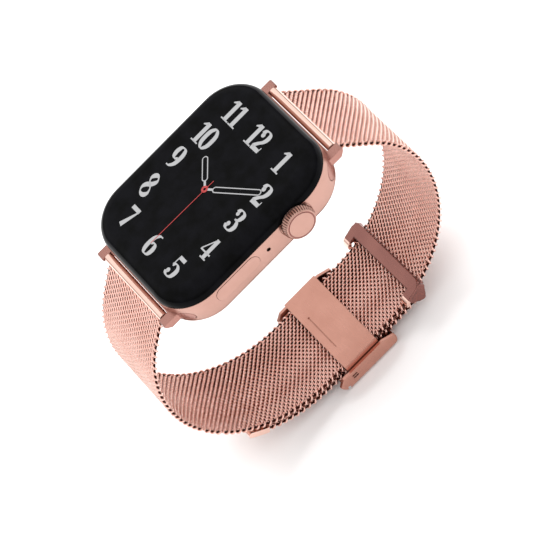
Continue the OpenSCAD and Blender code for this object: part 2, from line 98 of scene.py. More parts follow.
def line(p, q):
    """Points of a straight line in the (y, z) plane."""
    n = max(2, int(math.dist(p, q) / PATH_STEP))
    k = np.linspace(0, 1, n)[:, None]
    return np.array(p) * (1 - k) + np.array(q) * k


def touch_angle(cy, cz, r, py, side):
    """Angle, in degrees, where a line from a band pin at py touches the circle."""
    dy, dz = py - cy, PIN_Z - cz
    return math.degrees(math.atan2(dz, dy) + side * math.acos(r / math.hypot(dy, dz)))


class Path:
    """A line in the (y, z) plane, measured by its own length, with its left-hand normal."""

    def __init__(self, *parts):
        p = np.concatenate(parts)
        seg = np.hypot(*np.diff(p, axis=0).T)
        p = p[np.r_[True, seg > 1e-6]]
        self.p = p
        self.s = np.r_[0, np.cumsum(np.hypot(*np.diff(p, axis=0).T))]
        self.t = np.gradient(p, self.s, axis=0)
        self.length = self.s[-1]

    def place(self, x, s, n):
        """Points of the frame, in metres, for places across, along and above the line in mm."""
        inside = np.clip(s, 0, self.length)
        y, z = (np.interp(inside, self.s, self.p[:, i]) for i in (0, 1))
        ty, tz = (np.interp(inside, self.s, self.t[:, i]) for i in (0, 1))
        size = np.hypot(ty, tz)
        ty, tz = ty / size, tz / size
        over = s - inside
        return np.stack([x, y + over * ty - n * tz, z + over * tz + n * ty], -1) * MM


left_touch = touch_angle(LEFT_Y, LEFT_Z, LEFT_R, -PIN_Y, 1)
right_touch = touch_angle(TOP_Y, RIGHT_Z, TOP_R, PIN_Y, -1)
ring_tilt = math.radians(RING_ANGLE)
ring_y = RIGHT_Y + RIGHT_R * math.sin(ring_tilt)
ring_z = RIGHT_Z - RIGHT_R * math.cos(ring_tilt)
rod_y = ring_y + ROD_T * math.cos(ring_tilt) + FOLD_R * math.sin(ring_tilt)
rod_z = ring_z + ROD_T * math.sin(ring_tilt) - FOLD_R * math.cos(ring_tilt)
rod_dist = math.hypot(rod_y - RIGHT_Y, RIGHT_Z - rod_z)
rod_angle = math.degrees(math.atan2(rod_y - RIGHT_Y, RIGHT_Z - rod_z))
tail_leave = rod_angle - math.degrees(math.acos((RIGHT_R + LAYER_PITCH - FOLD_R) / rod_dist))
short_end = RING_ANGLE + math.degrees(math.asin(RIB_END / (RIGHT_R - HALF_T)))

short_arc = arc(RIGHT_Y, RIGHT_Z, RIGHT_R, short_end - 90, 0)
top_arc = arc(TOP_Y, RIGHT_Z, TOP_R, 0, right_touch)
short_path = Path(short_arc, top_arc, line(top_arc[-1], (PIN_Y, PIN_Z)))
upper_arc = arc(LEFT_Y, LEFT_Z, LEFT_R, left_touch, FLEX_ANGLE)
lower_arc = arc(LEFT_Y, LEFT_Z, LEFT_R, FLEX_ANGLE, 270)
bottom = line(lower_arc[-1], (RIGHT_Y, INNER_Z))
rise = arc(RIGHT_Y, RIGHT_Z, RIGHT_R, -90, rod_angle - 90)
long_path = Path(line((-PIN_Y, PIN_Z), upper_arc[0]), upper_arc, lower_arc, bottom, rise)
fold = arc(rod_y, rod_z, FOLD_R, rod_angle + 90, tail_leave - 90)
tail_right = arc(RIGHT_Y, RIGHT_Z, RIGHT_R + LAYER_PITCH, tail_leave - 90, -90)
tail_left = arc(LEFT_Y, LEFT_Z, LEFT_R + LAYER_PITCH, 270, 270 - TAIL_ANGLE)
tail_path = Path(fold, tail_right, line(tail_right[-1], tail_left[0]), tail_left)
flex_s = math.dist((-PIN_Y, PIN_Z), upper_arc[0])
flex_s += math.radians(FLEX_ANGLE - left_touch) * LEFT_R


# ---------------------------------------------------------------- materials
class Shader:
    """Small helper that builds one node material round a Principled shader."""

    def __init__(self, name):
        self.mat = bpy.data.materials.new(name)
        self.mat.use_nodes = True
        self.tree = self.mat.node_tree
        self.p = self.tree.nodes["Principled BSDF"]
        self.coords = self.new("ShaderNodeTexCoord")

    def new(self, kind, **settings):
        node = self.tree.nodes.new(kind)
        for key, value in settings.items():
            if key in node.inputs:
                node.inputs[key].default_value = value
            else:
                setattr(node, key, value)
        return node

    def link(self, a, b):
        self.tree.links.new(a, b)

    def noise(self, scale, detail=4.0, stretch=(1, 1, 1), rough=0.55):
        """Noise on the object's own coordinates; scale is per metre."""
        mapping = self.new("ShaderNodeMapping")
        mapping.inputs["Scale"].default_value = stretch
        self.link(self.coords.outputs["Object"], mapping.inputs["Vector"])
        node = self.new("ShaderNodeTexNoise", Scale=scale, Detail=detail, Roughness=rough)
        self.link(mapping.outputs[0], node.inputs["Vector"])
        return node.outputs["Fac"]

    def maths(self, operation, first, second=0.0):
        """Result of one sum, with a socket first and a socket or a number second."""
        node = self.new("ShaderNodeMath", operation=operation)
        self.link(first, node.inputs[0])
        if isinstance(second, (int, float)):
            node.inputs[1].default_value = second
        else:
            self.link(second, node.inputs[1])
        return node.outputs[0]

    def span(self, value, low, high, start=0.3, end=0.7):
        """Value between start and end made to run from low to high; noise is about 0.3 to 0.7."""
        node = self.new("ShaderNodeMapRange")
        limits = {"From Min": start, "From Max": end, "To Min": low, "To Max": high}
        for key, number in limits.items():
            node.inputs[key].default_value = number
        self.link(value, node.inputs["Value"])
        return node.outputs["Result"]

    def colour(self, value, first, second):
        """Base colour that runs between two colours with the value."""
        ramp = self.new("ShaderNodeValToRGB")
        ramp.color_ramp.elements[0].color = (*first, 1)
        ramp.color_ramp.elements[1].color = (*second, 1)
        ramp.color_ramp.elements[0].position = 0.35
        ramp.color_ramp.elements[1].position = 0.65
        self.link(value, ramp.inputs["Fac"])
        self.link(ramp.outputs["Color"], self.p.inputs["Base Color"])

    def rough(self, value, low, high):
        self.link(self.span(value, low, high), self.p.inputs["Roughness"])

    def bump(self, value, height, edge=0.0):
        """Relief of the given height in metres over softened edges of the given radius."""
        node = self.new("ShaderNodeBump", Strength=1.0, Distance=height)
        self.link(value, node.inputs["Height"])
        if edge:
            bevel = self.new("ShaderNodeBevel", samples=4, Radius=edge)
            self.link(bevel.outputs["Normal"], node.inputs["Normal"])
        self.link(node.outputs["Normal"], self.p.inputs["Normal"])

    def set(self, **values):
        """Uniform values on the shader's own sockets."""
        for key, value in values.items():
            self.p.inputs[key.replace("_", " ")].default_value = value
        return self


def metal_shader(name, first, second, low, high, grain=4000.0, relief=2e-6, stretch=(1, 1, 1),
                 edge=0.0):
    """Metal whose colour, polish and relief vary with a fine grain and a slow cloud."""
    m = Shader(name).set(Metallic=1.0)
    fine = m.noise(grain, 3.0, stretch)
    m.colour(m.noise(120.0, 5.0), first, second)
    m.rough(fine, low, high)
    m.bump(fine, relief, edge)
    return m


def metal(*values, **settings):
    return metal_shader(*values, **settings).mat


def plain(name, first, second, low, high, grain=2500.0, relief=4e-6, **values):
    """Non-metal with a fine grain."""
    m = Shader(name).set(**values)
    fine = m.noise(grain)
    m.colour(m.noise(300.0, 5.0), first, second)
    m.rough(fine, low, high)
    m.bump(fine, relief)
    return m.mat


ROSE = (0.45, 0.255, 0.207)
ROSE_LIGHT = (0.50, 0.29, 0.24)
aluminium = metal("rose_aluminium", ROSE, ROSE_LIGHT, 0.28, 0.36, 9000, 1.2e-6, edge=1.2e-4)
dark_rose = metal("dark_rose", (0.40, 0.20, 0.15), (0.50, 0.27, 0.21), 0.3, 0.4)
polished = metal("polished_rose", (0.84, 0.55, 0.46), (0.90, 0.62, 0.53), 0.10, 0.17, 2500, 6e-7,
                 edge=8e-5)
BRUSH = (0.04, 1, 1)
brushed = metal("brushed_rose", (0.52, 0.255, 0.195), (0.58, 0.295, 0.23), 0.26, 0.34, 5000, 1e-6,
                BRUSH, edge=1.5e-4)
lug_metal = metal("lug_rose", (0.36, 0.175, 0.145), (0.41, 0.205, 0.17), 0.24, 0.32, 9000, 1e-6,
                  edge=1.5e-4)
ring_metal = metal("ring_rose", (0.245, 0.105, 0.09), (0.285, 0.125, 0.105), 0.2, 0.3, 5000, 1e-6,
                   BRUSH, edge=2.5e-4)
wire = metal("mesh_wire", (0.86, 0.52, 0.44), (0.92, 0.59, 0.51), 0.2, 0.3, 3000, 1.5e-6)
# Near-black wire for the weave's cores: painted shade, the dark seen through the holes between
# coils
painted_shade_wire = metal("mesh_core_painted_shade", (0.03, 0.008, 0.006), (0.06, 0.018, 0.012), 0.5, 0.7)
steel = metal("bright_steel", (0.52, 0.52, 0.53), (0.62, 0.62, 0.63), 0.25, 0.4, edge=5e-5)
copper = metal("copper_winding", (0.45, 0.16, 0.06), (0.6, 0.25, 0.1), 0.3, 0.45)
foil = metal("dark_foil", (0.02, 0.02, 0.022), (0.04, 0.04, 0.045), 0.35, 0.5)
glass = plain("black_glass", (0.002, 0.002, 0.002), (0.004, 0.004, 0.005), 0.03, 0.07, 900, 2e-8,
              Specular_IOR_Level=0.03)
lens = plain("sensor_lens", (0.004, 0.004, 0.006), (0.01, 0.01, 0.013), 0.04, 0.08, 900, 2e-8,
             Coat_Weight=1.0, Coat_Roughness=0.03)
panel = plain("display_layer", (0.004, 0.004, 0.005), (0.008, 0.008, 0.01), 0.1, 0.2)
ceramic = plain("back_ceramic", (0.02, 0.017, 0.017), (0.035, 0.03, 0.03), 0.12, 0.22, 1500, 1e-6,
                Coat_Weight=0.6, Coat_Roughness=0.05)
rubber = plain("seal_rubber", (0.008, 0.008, 0.008), (0.02, 0.02, 0.02), 0.6, 0.8)
film = plain("flex_film", (0.35, 0.12, 0.02), (0.5, 0.2, 0.04), 0.3, 0.5)
board = plain("solder_mask", (0.006, 0.05, 0.02), (0.012, 0.09, 0.04), 0.25, 0.45)
moulded = plain("moulded_black", (0.01, 0.01, 0.01), (0.025, 0.025, 0.025), 0.4, 0.6)
led = plain("led_lens", (0.5, 0.7, 0.5), (0.75, 0.85, 0.7), 0.1, 0.2, Transmission_Weight=0.2)
BY_SLOT = {
    "rose_aluminium": aluminium, "rose_dark": dark_rose, "rose_steel": polished,
    "rose_brushed": brushed, "woven_steel": wire, "cover_glass": glass, "sensor_glass": lens,
    "display": panel, "back_ceramic": ceramic, "rubber": rubber, "flex_film": film,
    "steel": steel, "battery_foil": foil, "circuit_board": board, "copper": copper,
    "black_plastic": moulded, "led_lens": led,
}
for part in frame["record"]["subparts"]:
    ob = NODES[part["node"]]
    ob.data.materials.clear()
    ob.data.materials.append(BY_SLOT[part["material_slot"]])
OWN_METAL = {"adapter_12": lug_metal, "adapter_6": lug_metal, "crown_ring": ring_metal}
for part, own_metal in OWN_METAL.items():
    NODES[part].data.materials[0] = own_metal


# ---------------------------------------------------------------- mesh helpers
def add_object(name, me, materials):
    """Object in the scene for a mesh, with its materials."""
    for m in materials:
        me.materials.append(m)
    ob = bpy.data.objects.new(name, me)
    bpy.context.scene.collection.objects.link(ob)
    return ob


def add_mesh(name, points, faces, materials, material_of=None, smooth=True):
    """Object for a mesh made of points, in metres, and faces."""
    me = bpy.data.meshes.new(name)
    me.from_pydata([tuple(p) for p in points], [], faces)
    if material_of is not None:
        me.polygons.foreach_set("material_index", material_of)
    me.polygons.foreach_set("use_smooth", [smooth] * len(me.polygons))
    me.update()
    return add_object(name, me, materials)


class Tubes:
    """Collects round wires, each given as a list of centre points in one path's own frame."""

    def __init__(self, path):
        self.path = path
        self.points, self.faces, self.kinds = [], [], []
        self.count = 0

    def add(self, centres, radius, kind=0):
        """Wire along centres given as (x, s, n) in mm, with one face on each end."""
        sides = WIRE_SIDES
        c = np.asarray(centres, float)
        t = np.gradient(c, axis=0)
        t /= np.linalg.norm(t, axis=1)[:, None]
        side = np.cross(t, self.lead(t))
        side /= np.linalg.norm(side, axis=1)[:, None]
        other = np.cross(side, t)
        a = np.arange(sides) * 2 * math.pi / sides
        ring_points = (
            c[:, None]
            + radius * np.cos(a)[None, :, None] * side[:, None]
            + radius * np.sin(a)[None, :, None] * other[:, None]
        ).reshape(-1, 3)
        where = self.path.place(*ring_points.T)
        n = len(c)
        i = np.arange(n - 1)[:, None] * sides
        j = np.arange(sides)[None]
        k = (j + 1) % sides
        quads = np.stack([i + j, i + k, i + sides + k, i + sides + j], -1).reshape(-1, 4)
        quads = quads + self.count
        self.points.append(where)
        self.faces += quads.tolist()
        self.faces.append((self.count + np.arange(sides)[::-1]).tolist())
        self.faces.append((self.count + (n - 1) * sides + np.arange(sides)).tolist())
        self.kinds += [kind] * (len(quads) + 2)
        self.count += len(where)

    @staticmethod
    def lead(t):
        """A direction that is never along the wire: the axis it runs along least on average."""
        share = np.abs(t).mean(0)
        return np.eye(3)[int(share.argmin())]

    def make(self, name):
        points = np.concatenate(self.points)
        return add_mesh(name, points, self.faces, [wire, painted_shade_wire], self.kinds)


# ---------------------------------------------------------------- woven mesh
# Lengths in mm. Coils run across the band, one to a row; cores are dark painted-shade wires between
# rows
WIRE_SIDES = 6
COIL_PITCH, ROW_STEP = 1.5, 0.56
COIL_HALF, COIL_HEIGHT = 0.45, 0.28
COIL_TURNS, COIL_POINTS = 15, 8
COIL_FLAT, COIL_BOX = 0.8, 0.6
COIL_END = 0.15
WIRE_R, CROSS_R, SHADE_CORE_R = 0.21, 0.16, 0.12
EDGE_X, EDGE_R, EDGE_WIRE = 10.42, 0.38, 0.23
EDGE_PITCH, EDGE_POINTS = 1.45, 10
# Inset and spacing of the dark painted-shade wire along each rolled edge
EDGE_SHADE_CORE_IN, EDGE_SHADE_CORE_STEP = 0.1, 1.0
# Length of the weave that a ferrule covers, and half the length of the blended bend
FERRULE_S, FLEX_HALF = 0.9, 2.52


def flat_coil(phase):
    """Sideways and upward place on a flattened coil, between a circle and a rounded box."""
    c, s = np.cos(phase), np.sin(phase)
    return np.sign(c) * np.abs(c) ** COIL_FLAT, np.sign(s) * np.abs(s) ** COIL_BOX


def weave(path, name, s0, s1, first=0, joined=False):
    """Rows of flattened coils across the band from s0 to s1, with cross wires and rolled edges.

    first is the number of rows before this piece; joined adds the dark painted-shade core under the
    seam after it.
    """
    tubes = Tubes(path)
    rows = int(round((s1 - s0) / ROW_STEP))
    turn = np.arange(COIL_TURNS * COIL_POINTS + 1) / COIL_POINTS
    along, up = flat_coil(2 * math.pi * turn)
    half = COIL_TURNS * COIL_PITCH / 2
    for i in range(rows):
        s = s0 + (i + 0.5) * (s1 - s0) / rows
        shift = ((i + first) % 2 - 0.5) * COIL_PITCH / 2
        x = turn * COIL_PITCH - half + shift
        coil = np.stack([x, s + COIL_HALF * along, COIL_HEIGHT * up], 1)
        tubes.add(coil[np.abs(x) < EDGE_X - COIL_END], WIRE_R)
        tubes.add([(-EDGE_X, s, 0), (EDGE_X, s, 0)], CROSS_R)
        # A near-black core between each two rows: painted shade seen through the holes
        shade_core_s = s + ROW_STEP / 2
        if i < rows - 1 or joined:
            tubes.add([(-EDGE_X, shade_core_s, 0), (EDGE_X, shade_core_s, 0)], SHADE_CORE_R, 1)
    loops = (s1 - s0) / EDGE_PITCH
    phase = np.linspace(0, loops, int(loops * EDGE_POINTS) + 1)
    for side in (-1, 1):
        x = side * (EDGE_X + EDGE_R * np.cos(2 * math.pi * phase))
        n = EDGE_R * np.sin(2 * math.pi * phase)
        tubes.add(np.stack([x, s0 + phase * EDGE_PITCH, n], 1), EDGE_WIRE)
        # Along each rolled edge a dark core wire paints the shade inside the loops
        shade_core_points = max(3, int((s1 - s0) / EDGE_SHADE_CORE_STEP))
        core = np.linspace(s0 + EDGE_SHADE_CORE_IN, s1 - EDGE_SHADE_CORE_IN, shade_core_points)
        tubes.add([(side * EDGE_X, s, 0) for s in core], EDGE_WIRE, 1)
    ob = tubes.make(name)
    return ob


bend_start, bend_end = flex_s - FLEX_HALF, flex_s + FLEX_HALF
upper_rows = round((bend_start - FERRULE_S) / ROW_STEP)
lower_first = upper_rows + round(2 * FLEX_HALF / ROW_STEP)
weave_short = weave(short_path, "weave_short", 0.0, short_path.length - FERRULE_S)
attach(weave_short, "short_strap")
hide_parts("mesh_short")
weave_upper = weave(long_path, "weave_upper", FERRULE_S, bend_start, joined=True)
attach(weave_upper, "long_strap_upper")
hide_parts("mesh_long_upper")
weave_bend = weave(long_path, "weave_bend", bend_start, bend_end, upper_rows, joined=True)
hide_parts("flex_wire")
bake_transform(weave_bend)
weave_lower = weave(long_path, "weave_lower", bend_end, long_path.length, lower_first)
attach(weave_lower, "long_strap_lower")
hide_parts("mesh_long_lower")
weave_tail = weave(tail_path, "weave_tail", 0.0, tail_path.length)
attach(weave_tail, "long_strap_lower")

# ---------------------------------------------------------------- ring on the short strap
# Lengths in mm, in the ring's own axes: across the band, along it and above the strap's middle
RING_HALF_W, RING_LOW, RING_HIGH, BAR_END, CORNER_R = 12.5, 1.25, 1.95, 2.75, 1.7
ARM_IN, ARM_ROOT, ARM_CURVE_R, ARM_THICK, ARM_TURN, ARM_LAP = 10.3, -1.7, 1.6, 0.7, 165, 0.02
CHEEK_IN, CHEEK_OUT, CHEEK_BACK, CHEEK_TOP, FOOT_R = 11.3, 12.45, -2.0, 1.8, 0.8
RIB_HALF_W, RIB_START, RIB_STOP, RIB_LOW, RIB_TOP = 11, RIB_END - 0.55, RIB_END - 0.05, -0.5, 1.5
ROD_HALF_W, ROD_R, ROD_SIDES = 12.2, 0.35, 16
PLATE_SOFT, ARM_SOFT, RIB_SOFT, ROD_SOFT = 0.12, 0.15, 0.08, 0.05


def in_ring(x, along, n):
    """Point of the frame, in metres, from the ring's own axes in mm."""
    y = ring_y + along * math.cos(ring_tilt) - n * math.sin(ring_tilt)
    z = ring_z + along * math.sin(ring_tilt) + n * math.cos(ring_tilt)
    return Vector((x, y, z)) * MM


def lengthwise(along, n, x):
    """The same for a solid whose outline is seen along the band's width."""
    return in_ring(x, along, n)


def mirrored(along, n, x):
    """The same on the other side of the band."""
    return in_ring(-x, along, n)


def round_points(cx, cy, r, a0, a1, n=7):
    """Points of an arc in any plane, from angle a0 to a1 in degrees."""
    a = np.radians(np.linspace(a0, a1, n))
    return [(cx + r * math.cos(k), cy + r * math.sin(k)) for k in a]


def prism(bm, outline, low, high, place, soft, kind=0):
    """Straight solid over an outline, between two levels, with softened edges."""
    before = set(bm.faces)
    rows = [[bm.verts.new(place(u, v, w)) for u, v in outline] for w in (low, high)]
    n = len(outline)
    made = [bm.faces.new(rows[0][::-1]), bm.faces.new(rows[1])]
    for i in range(n):
        j = (i + 1) % n
        made.append(bm.faces.new((rows[0][i], rows[0][j], rows[1][j], rows[1][i])))
    rims = [e for f in made[:2] for e in f.edges]
    bmesh.ops.bevel(bm, geom=rims, offset=soft * MM, segments=2, profile=0.5, affect="EDGES",
                    clamp_overlap=True)
    for face in set(bm.faces) - before:
        face.material_index = kind


bm = bmesh.new()
corner_x, corner_t = RING_HALF_W - CORNER_R, BAR_END - CORNER_R
plan = [(ARM_IN, 0), (ARM_IN, ARM_ROOT), (RING_HALF_W, ARM_ROOT)]
plan += round_points(corner_x, corner_t, CORNER_R, 0, 90)
plan += round_points(-corner_x, corner_t, CORNER_R, 90, 180)
plan += [(-RING_HALF_W, ARM_ROOT), (-ARM_IN, ARM_ROOT), (-ARM_IN, 0)]
prism(bm, plan, RING_LOW, RING_HIGH, in_ring, PLATE_SOFT)
arm_n = RING_HIGH - ARM_CURVE_R
arm_end = round_points(ARM_ROOT + ARM_LAP, arm_n, ARM_CURVE_R - ARM_LAP, 90, ARM_TURN)
arm_end += round_points(ARM_ROOT + ARM_LAP, arm_n, ARM_CURVE_R - ARM_THICK, ARM_TURN, 90)
cheek = [(CHEEK_BACK, 0.8), (CHEEK_BACK, CHEEK_TOP)]
cheek += [(BAR_END - 0.4, CHEEK_TOP), (BAR_END - 0.1, 0.3)]
cheek += round_points(ROD_T, -FOLD_R, FOOT_R, 0, -180)
cheek += [(ROD_T - 2.4 * FOOT_R, 0.3)]
for place in (mirrored, lengthwise):
    # The arm ends take the bright polished colour, a painted highlight on their curve; the plate
    # keeps the darker ring colour
    prism(bm, arm_end, ARM_IN, RING_HALF_W, place, ARM_SOFT, 1)
    prism(bm, cheek, CHEEK_IN, CHEEK_OUT, place, ARM_SOFT)
rib = [(RIB_START, RIB_LOW), (RIB_STOP, RIB_LOW), (RIB_STOP, RIB_TOP), (RIB_START, RIB_TOP)]
prism(bm, rib, -RIB_HALF_W, RIB_HALF_W, lengthwise, RIB_SOFT)
rod = round_points(ROD_T, -FOLD_R, ROD_R, 0, 360 - 360 / ROD_SIDES, ROD_SIDES)
prism(bm, rod, -ROD_HALF_W, ROD_HALF_W, lengthwise, ROD_SOFT)
bmesh.ops.recalc_face_normals(bm, faces=bm.faces)
ring_mesh = bpy.data.meshes.new("ring_plate")
bm.to_mesh(ring_mesh)
bm.free()
# Second material: the painted highlight of the arm ends
ring_plate = add_object("ring_plate", ring_mesh, [ring_metal, polished])
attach(ring_plate, "short_strap")
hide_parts("ring_loop")

# ---------------------------------------------------------------- knurled crown
TEETH, TOOTH_POINTS, TOOTH_DEPTH, TOOTH_SHARP = 40, 8, 0.3, 0.7
RECESS_R, RECESS_DEPTH, CROWN_R = 3.05, 0.3, 3.76
# Grooves get painted shade: its strength in them, cosine at which it starts and ends, plain stretch
# at the face
GROOVE_SHADE, GROOVE_COS, RIDGE_COS, PLAIN_LENGTH = 0.2, -0.8, 0.3, 0.28
crown_low, crown_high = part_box("crown_wheel")
crown_centre = (crown_low + crown_high) / 2
back_x, face_x = crown_low.x / MM, crown_high.x / MM


def crown_shader():
    """Rose metal with painted shade in the knurl's grooves, placed by the angle round the crown's
    axis.
    """
    m = metal_shader("crown_rose_groove_shade", ROSE, ROSE_LIGHT, 0.28, 0.36, 9000.0, 1.2e-6)
    from_axis = m.new("ShaderNodeVectorMath", operation="SUBTRACT")
    from_axis.inputs[1].default_value = crown_centre
    m.link(m.coords.outputs["Object"], from_axis.inputs[0])
    place = m.new("ShaderNodeSeparateXYZ")
    m.link(from_axis.outputs[0], place.inputs[0])
    turned = m.maths("ARCTAN2", place.outputs["Z"], place.outputs["Y"])
    ridge = m.maths("COSINE", m.maths("MULTIPLY", turned, TEETH))
    # Painted shade: the colour is darkened in each groove of the knurl
    groove = m.span(ridge, GROOVE_SHADE, 1.0, GROOVE_COS, RIDGE_COS)
    plain_x = crown_high.x - crown_centre.x - PLAIN_LENGTH * MM
    beyond = m.maths("GREATER_THAN", place.outputs["X"], plain_x)
    shade = m.new("ShaderNodeVectorMath", operation="SCALE")
    m.link(m.p.inputs["Base Color"].links[0].from_socket, shade.inputs[0])
    m.link(m.maths("MAXIMUM", groove, beyond), shade.inputs["Scale"])
    m.link(shade.outputs[0], m.p.inputs["Base Color"])
    return m.mat


# Place along the axis, radius and share of the grooves at each ring of points
CROWN_RINGS = [
    (back_x, 0.5, 0), (back_x, 1.9, 0), (back_x + 0.3, 1.9, 0), (back_x + 0.3, 3.2, 0),
    (back_x + 0.36, 3.5, 0.1), (back_x + 0.5, 3.66, 0.8), (back_x + 0.75, CROWN_R, 1),
    (face_x - 1.0, 3.72, 1), (face_x - 0.65, 3.64, 1), (face_x - 0.4, 3.52, 0.8),
    (face_x - 0.22, 3.38, 0.3), (face_x - 0.08, 3.25, 0), (face_x, 3.12, 0), (face_x, RECESS_R, 0),
    (face_x - RECESS_DEPTH, RECESS_R, 0), (face_x - RECESS_DEPTH, 0.5, 0),
]
turn_steps = TEETH * TOOTH_POINTS
around = np.arange(turn_steps)
following = (around + 1) % turn_steps
angle = around * 2 * math.pi / turn_steps
wave = (0.5 - 0.5 * np.cos(TEETH * angle)) ** TOOTH_SHARP
crown_points, crown_faces = [], []
for k, (x, r, share) in enumerate(CROWN_RINGS):
    reach = r - TOOTH_DEPTH * share * wave
    crown_points.append(np.stack([np.full(turn_steps, x) * MM,
                                  crown_centre.y + reach * np.cos(angle) * MM,
                                  crown_centre.z + reach * np.sin(angle) * MM], 1))
    a, b = k * turn_steps, (k + 1) % len(CROWN_RINGS) * turn_steps
    crown_faces += np.stack([a + around, a + following, b + following, b + around], 1).tolist()
crown_knurl = add_mesh("crown_knurl", np.concatenate(crown_points), crown_faces, [crown_shader()])
crown_knurl.data.set_sharp_from_angle(angle=math.radians(40))
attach(crown_knurl, "crown")
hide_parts("crown_wheel")

# ---------------------------------------------------------------- lit dial
glow = Shader("lit_grey").set(Emission_Strength=1.0, Coat_Weight=0.3, Coat_Roughness=0.05)
glow.colour(glow.noise(3000.0), (0.02, 0.02, 0.02), (0.03, 0.03, 0.03))
glow.set(Emission_Color=(0.47, 0.47, 0.48, 1))
glow.rough(glow.noise(900.0), 0.06, 0.12)
red = Shader("lit_red").set(Emission_Strength=1.0, Emission_Color=(0.42, 0.03, 0.03, 1))
red.colour(red.noise(3000.0), (0.05, 0.005, 0.005), (0.08, 0.008, 0.008))
red.rough(red.noise(900.0), 0.06, 0.12)
dark = Shader("unlit_black").set(Specular_IOR_Level=0.03)
dark.colour(dark.noise(3000.0), (0.002, 0.002, 0.002), (0.004, 0.004, 0.005))
dark.rough(dark.noise(900.0), 0.05, 0.1)
GLASS_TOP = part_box("front_glass")[1].z / MM
LAYER = 0.02
CURVE_STEPS = 7
# The display lies under thick glass, so its picture is drawn a little towards the crown
HUB_X = 0.75


class Flat:
    """Collects thin closed plates, drawn in the dial's (x, y) plane in mm."""

    def __init__(self, level):
        self.z0 = GLASS_TOP + level * LAYER
        self.points, self.faces, self.kinds = [], [], []

    def strip(self, left, right, closed=False, kind=0, lift=0.0):
        """Plate between two lines of points of the same number."""
        n = len(left)
        base = len(self.points)
        for z in (self.z0, self.z0 + LAYER + lift):
            for line_points in (left, right):
                self.points += [((x + HUB_X) * MM, y * MM, z * MM) for x, y in line_points]
        low_l, low_r, top_l, top_r = (base + k * n for k in range(4))
        made = []
        for i in range(n if closed else n - 1):
            j = (i + 1) % n
            made.append((top_l + i, top_r + i, top_r + j, top_l + j))
            made.append((low_l + j, low_r + j, low_r + i, low_l + i))
            made.append((low_l + i, top_l + i, top_l + j, low_l + j))
            made.append((low_r + j, top_r + j, top_r + i, low_r + i))
        if not closed:
            made.append((low_l, low_r, top_r, top_l))
            e = n - 1
            made.append((low_l + e, top_l + e, top_r + e, low_r + e))
        self.faces += made
        self.kinds += [kind] * len(made)

    def make(self, name, materials):
        ob = add_mesh(name, self.points, self.faces, materials, self.kinds, smooth=False)
        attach(ob, "watch")
        return ob


def spline(points, closed=False):
    """Smooth line through the points."""
    p = np.array(points, float)
    if closed:
        q = np.concatenate([p[-1:], p, p[:2]])
    else:
        q = np.concatenate([2 * p[:1] - p[1:2], p, 2 * p[-1:] - p[-2:-1]])
    out = []
    t = np.linspace(0, 1, CURVE_STEPS, endpoint=False)[:, None]
    for a, b, c, d in zip(q, q[1:], q[2:], q[3:]):
        out.append(0.5 * (2 * b + (c - a) * t + (2 * a - 5 * b + 4 * c - d) * t ** 2
                          + (3 * b - a - 3 * c + d) * t ** 3))
    if not closed:
        out.append(p[-1:])
    return np.concatenate(out)


def ribbon(points, widths, closed=False):
    """The two sides of a line of the given widths."""
    if closed:
        d = np.roll(points, -1, 0) - np.roll(points, 1, 0)
    else:
        d = np.gradient(points, axis=0)
    d /= np.linalg.norm(d, axis=1)[:, None]
    off = np.stack([-d[:, 1], d[:, 0]], 1) * np.asarray(widths)[:, None] / 2
    return points + off, points - off


def pen_widths(points, closed, thin, thick, lean=0.0):
    """Width of a broad pen: thick where the line runs upright, thin where it lies flat."""
    if closed:
        d = np.roll(points, -1, 0) - np.roll(points, 1, 0)
    else:
        d = np.gradient(points, axis=0)
    angle = np.arctan2(d[:, 1], d[:, 0]) - lean
    return thin + (thick - thin) * np.abs(np.sin(angle)) ** PEN_SHARP


def disc(cx, cy, r, n=20):
    """The two sides of a filled circle, from its left end to its right end."""
    a = np.linspace(math.pi, 0, n)
    top = np.stack([cx + r * np.cos(a), cy + r * np.sin(a)], 1)
    low = np.stack([cx + r * np.cos(a), cy - r * np.sin(a)], 1)
    return top, low


